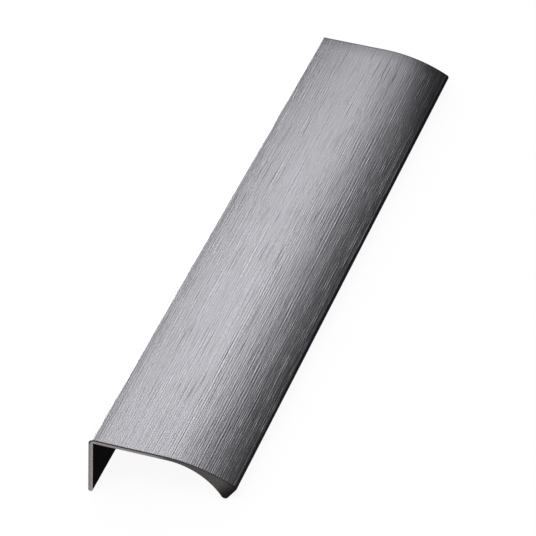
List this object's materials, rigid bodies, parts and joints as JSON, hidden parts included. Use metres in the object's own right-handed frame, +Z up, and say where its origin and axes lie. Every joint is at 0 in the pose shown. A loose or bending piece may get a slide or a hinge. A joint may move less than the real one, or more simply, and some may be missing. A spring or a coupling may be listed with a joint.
{
  "type": "finger pull profile",
  "caption": "Extruded edge pull with a screwed rear flange, a flat plate over the front's edge and a curved lip hollowed for the fingertips, in brushed grey anodised aluminium.",
  "frame": {"origin": "on the floor, under the middle of the profile's box", "axes": "+Z up, +Y along the length, +X across from the flange to the lip"},
  "size_m": [0.0412, 0.2, 0.0165],
  "materials": {
    "brushed_anodised_aluminium": "brushed along the length and anodised dark grey"
  },
  "bodies": {
    "root": {"finger_pull_profile": "brushed_anodised_aluminium"}
  },
  "joints": []
}
